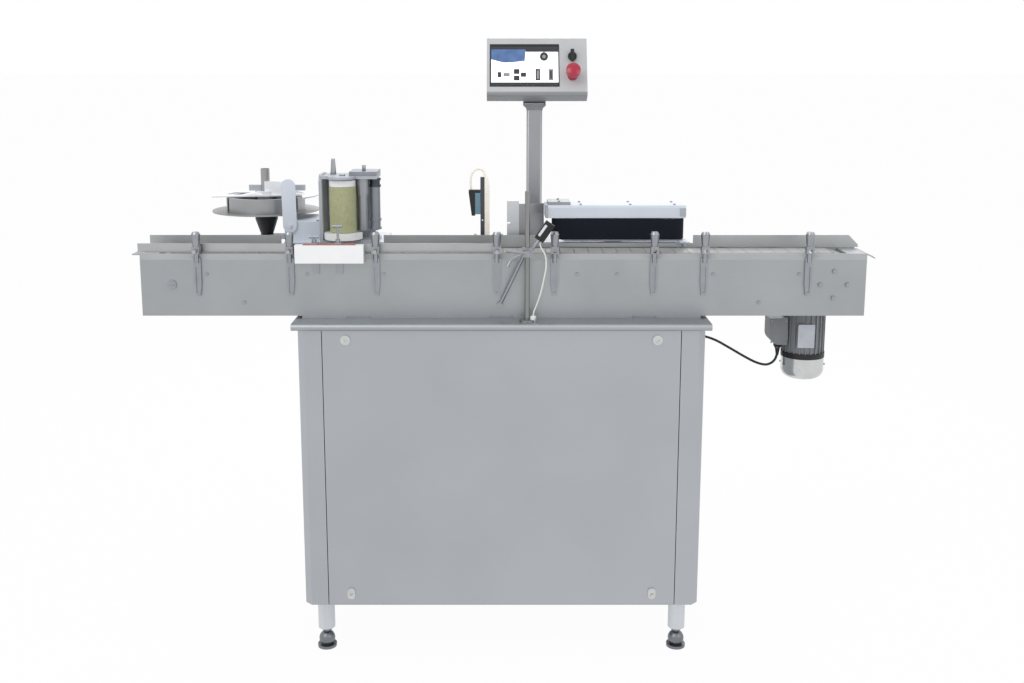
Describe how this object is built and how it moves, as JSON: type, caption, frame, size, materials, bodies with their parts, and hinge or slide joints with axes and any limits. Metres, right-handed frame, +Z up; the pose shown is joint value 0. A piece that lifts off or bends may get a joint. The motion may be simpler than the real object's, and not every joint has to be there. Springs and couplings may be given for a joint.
{
  "type": "bottle labeling machine",
  "caption": "Floor-standing bottle labeling machine: slat chain conveyor on a cabinet, with bottle separator, label reel, peel plate, wrap belt and tilted operator panel.",
  "frame": {"origin": "centre of the footprint on the floor", "axes": "+X along the conveyor in the direction of bottle travel, +Y from the operator's side to the back, +Z up"},
  "size_m": [1.9657, 0.576, 1.6687],
  "materials": {
    "stainless_sheet": "brushed",
    "stainless_light": "satin",
    "machined_steel": "machined",
    "polished_steel": "polished",
    "cast_grey": "satin",
    "motor_grey": "satin",
    "blue_grey_paint": "satin",
    "panel_paint": "satin",
    "dark_anodised": "anodised",
    "clear_anodised": "anodised",
    "black_plastic": "moulded",
    "red_plastic": "moulded",
    "white_plastic": "machined",
    "chain_plastic": "moulded",
    "teal_plastic": "moulded",
    "cream_plastic": "extruded",
    "foam_rubber": "foamed",
    "red_rubber": "moulded",
    "belt_rubber": "moulded",
    "cable_black": "extruded",
    "cable_white": "extruded",
    "zinc_sheet": "zinc plated",
    "screen_glass": "glossy"
  },
  "bodies": {
    "machine": {"cabinet_frame": "stainless_sheet", "front_panel": "stainless_sheet", "cabinet_panels": "stainless_sheet", "counter_top": "stainless_light", "leveling_feet": "polished_steel", "electrical_plate": "zinc_sheet", "conveyor_plates": "stainless_sheet", "wear_strips": "white_plastic", "cross_spacers": "machined_steel", "slat_chain": "chain_plastic", "shaft_bearings": "cast_grey", "transfer_plates": "stainless_light", "gearbox": "cast_grey", "motor_body": "motor_grey", "fan_cover": "polished_steel", "rail_brackets": "machined_steel", "rail_knobs": "machined_steel", "guide_block": "white_plastic", "block_brackets": "machined_steel", "hmi_pole": "panel_paint", "mount_posts": "machined_steel", "base_plates": "blue_grey_paint", "head_box": "blue_grey_paint", "separator_frame": "cast_grey", "sensor_post": "cream_plastic", "sensor_head": "black_plastic", "peel_plate": "stainless_sheet", "support_rod": "polished_steel", "cross_clamp": "cast_grey", "photo_sensor": "black_plastic", "motor_cable": "cable_black", "sensor_cable": "cream_plastic", "photo_cable": "cable_white"},
    "lock_tl": {"lock_top_left": "polished_steel"},
    "lock_tr": {"lock_top_right": "polished_steel"},
    "lock_ll": {"lock_low_left": "polished_steel"},
    "lock_lr": {"lock_low_right": "polished_steel"},
    "chain_drive": {"drive_shaft": "machined_steel", "drive_sprocket": "black_plastic"},
    "chain_tail": {"tail_wheel": "black_plastic"},
    "rotor": {"motor_rotor": "black_plastic"},
    "front_guide": {"front_rail": "stainless_sheet"},
    "rear_guide": {"rear_rail": "stainless_sheet"},
    "panel_swivel": {"hmi_yoke": "cast_grey"},
    "panel": {"hmi_housing": "panel_paint", "hmi_screen": "black_plastic"},
    "emergency_button": {"estop_button": "red_plastic"},
    "selector": {"selector_knob": "black_plastic"},
    "bar_arm": {"web_arm": "blue_grey_paint"},
    "reel": {"reel_disc": "clear_anodised"},
    "upper_flange": {"reel_flange": "clear_anodised"},
    "separator_wheel": {"foam_roller": "foam_rubber", "wheel_hub": "white_plastic"},
    "roller_a": {"guide_roller_a": "clear_anodised"},
    "roller_b": {"guide_roller_b": "dark_anodised"},
    "wrap_unit": {"wrap_housing": "blue_grey_paint", "wrap_belt": "belt_rubber"},
    "wrap_driver": {"wrap_drive_roller": "clear_anodised"},
    "wrap_idler": {"wrap_idler_roller": "clear_anodised"},
    "lever": {"clamp_lever": "machined_steel"}
  },
  "joints": [
    {"name": "lock_top_left_turn", "type": "hinge", "parent": "machine", "child": "lock_tl", "pos_m": [-0.408, -0.27, 0.885], "axis": [0, 1, 0], "range_deg": [0, 90]},
    {"name": "lock_top_right_turn", "type": "hinge", "parent": "machine", "child": "lock_tr", "pos_m": [0.408, -0.27, 0.885], "axis": [0, 1, 0], "range_deg": [0, 90]},
    {"name": "lock_low_left_turn", "type": "hinge", "parent": "machine", "child": "lock_ll", "pos_m": [-0.408, -0.27, 0.178], "axis": [0, 1, 0], "range_deg": [0, 90]},
    {"name": "lock_low_right_turn", "type": "hinge", "parent": "machine", "child": "lock_lr", "pos_m": [0.408, -0.27, 0.178], "axis": [0, 1, 0], "range_deg": [0, 90]},
    {"name": "conveyor_drive", "type": "hinge", "parent": "machine", "child": "chain_drive", "pos_m": [0.88, -0.147, 1.02], "axis": [0, 1, 0], "continuous": true},
    {"name": "conveyor_tail", "type": "hinge", "parent": "machine", "child": "chain_tail", "pos_m": [-0.8726, -0.147, 1.02], "axis": [0, 1, 0], "continuous": true},
    {"name": "motor_turn", "type": "hinge", "parent": "machine", "child": "rotor", "pos_m": [0.849, -0.044, 0.85], "axis": [0, 0, 1], "continuous": true},
    {"name": "front_rail_slide", "type": "slide", "parent": "machine", "child": "front_guide", "axis": [0, 1, 0], "range_m": [-0.008, 0.025]},
    {"name": "rear_rail_slide", "type": "slide", "parent": "machine", "child": "rear_guide", "axis": [0, 1, 0], "range_m": [-0.01, 0]},
    {"name": "panel_turn", "type": "hinge", "parent": "machine", "child": "panel_swivel", "pos_m": [0.094, 0.12, 1.467], "axis": [0, 0, 1], "range_deg": [-90, 90]},
    {"name": "panel_tilt", "type": "hinge", "parent": "panel_swivel", "child": "panel", "pos_m": [0.094, 0.12, 1.498], "axis": [1, 0, 0], "range_deg": [-8, 8]},
    {"name": "emergency_press", "type": "slide", "parent": "panel", "child": "emergency_button", "axis": [0, 0.9063, -0.4226], "range_m": [0, 0.005], "stiffness_N_per_m": 2000, "springref_m": -0.001},
    {"name": "selector_turn", "type": "hinge", "parent": "panel", "child": "selector", "pos_m": [0.2, 0.10722, 1.61698], "axis": [0, -0.9063, 0.4226], "range_deg": [-45, 45]},
    {"name": "bar_arm_swing", "type": "hinge", "parent": "machine", "child": "bar_arm", "pos_m": [-0.584, -0.046, 1.156], "axis": [0, 1, 0], "range_deg": [-8, 20]},
    {"name": "reel_turn", "type": "hinge", "parent": "machine", "child": "reel", "pos_m": [-0.678, 0.095, 1.181], "axis": [0, 0, 1], "continuous": true},
    {"name": "flange_lift", "type": "slide", "parent": "reel", "child": "upper_flange", "axis": [0, 0, 1], "range_m": [0, 0.04]},
    {"name": "separator_turn", "type": "hinge", "parent": "machine", "child": "separator_wheel", "pos_m": [-0.434, -0.07, 1.2], "axis": [0, 0, 1], "continuous": true},
    {"name": "roller_a_turn", "type": "hinge", "parent": "machine", "child": "roller_a", "pos_m": [-0.38, -0.058, 1.2], "axis": [0, 0, 1], "continuous": true},
    {"name": "roller_b_turn", "type": "hinge", "parent": "machine", "child": "roller_b", "pos_m": [-0.348, -0.04, 1.2], "axis": [0, 0, 1], "continuous": true},
    {"name": "wrap_unit_slide", "type": "slide", "parent": "machine", "child": "wrap_unit", "axis": [0, 1, 0], "range_m": [0, 0.03]},
    {"name": "wrap_drive_turn", "type": "hinge", "parent": "wrap_unit", "child": "wrap_driver", "pos_m": [0.17, -0.075, 1.15], "axis": [0, 0, 1], "continuous": true},
    {"name": "wrap_idler_turn", "type": "hinge", "parent": "wrap_unit", "child": "wrap_idler", "pos_m": [0.465, -0.075, 1.15], "axis": [0, 0, 1], "continuous": true},
    {"name": "lever_turn", "type": "hinge", "parent": "machine", "child": "lever", "pos_m": [0.067, -0.262, 1.114], "axis": [0, 1, 0], "range_deg": [0, 60]}
  ],
  "couplings": [
    {"joint": "conveyor_tail", "follows": "conveyor_drive", "ratio": 1},
    {"joint": "motor_turn", "follows": "conveyor_drive", "ratio": 20},
    {"joint": "wrap_idler_turn", "follows": "wrap_drive_turn", "ratio": 1}
  ]
}
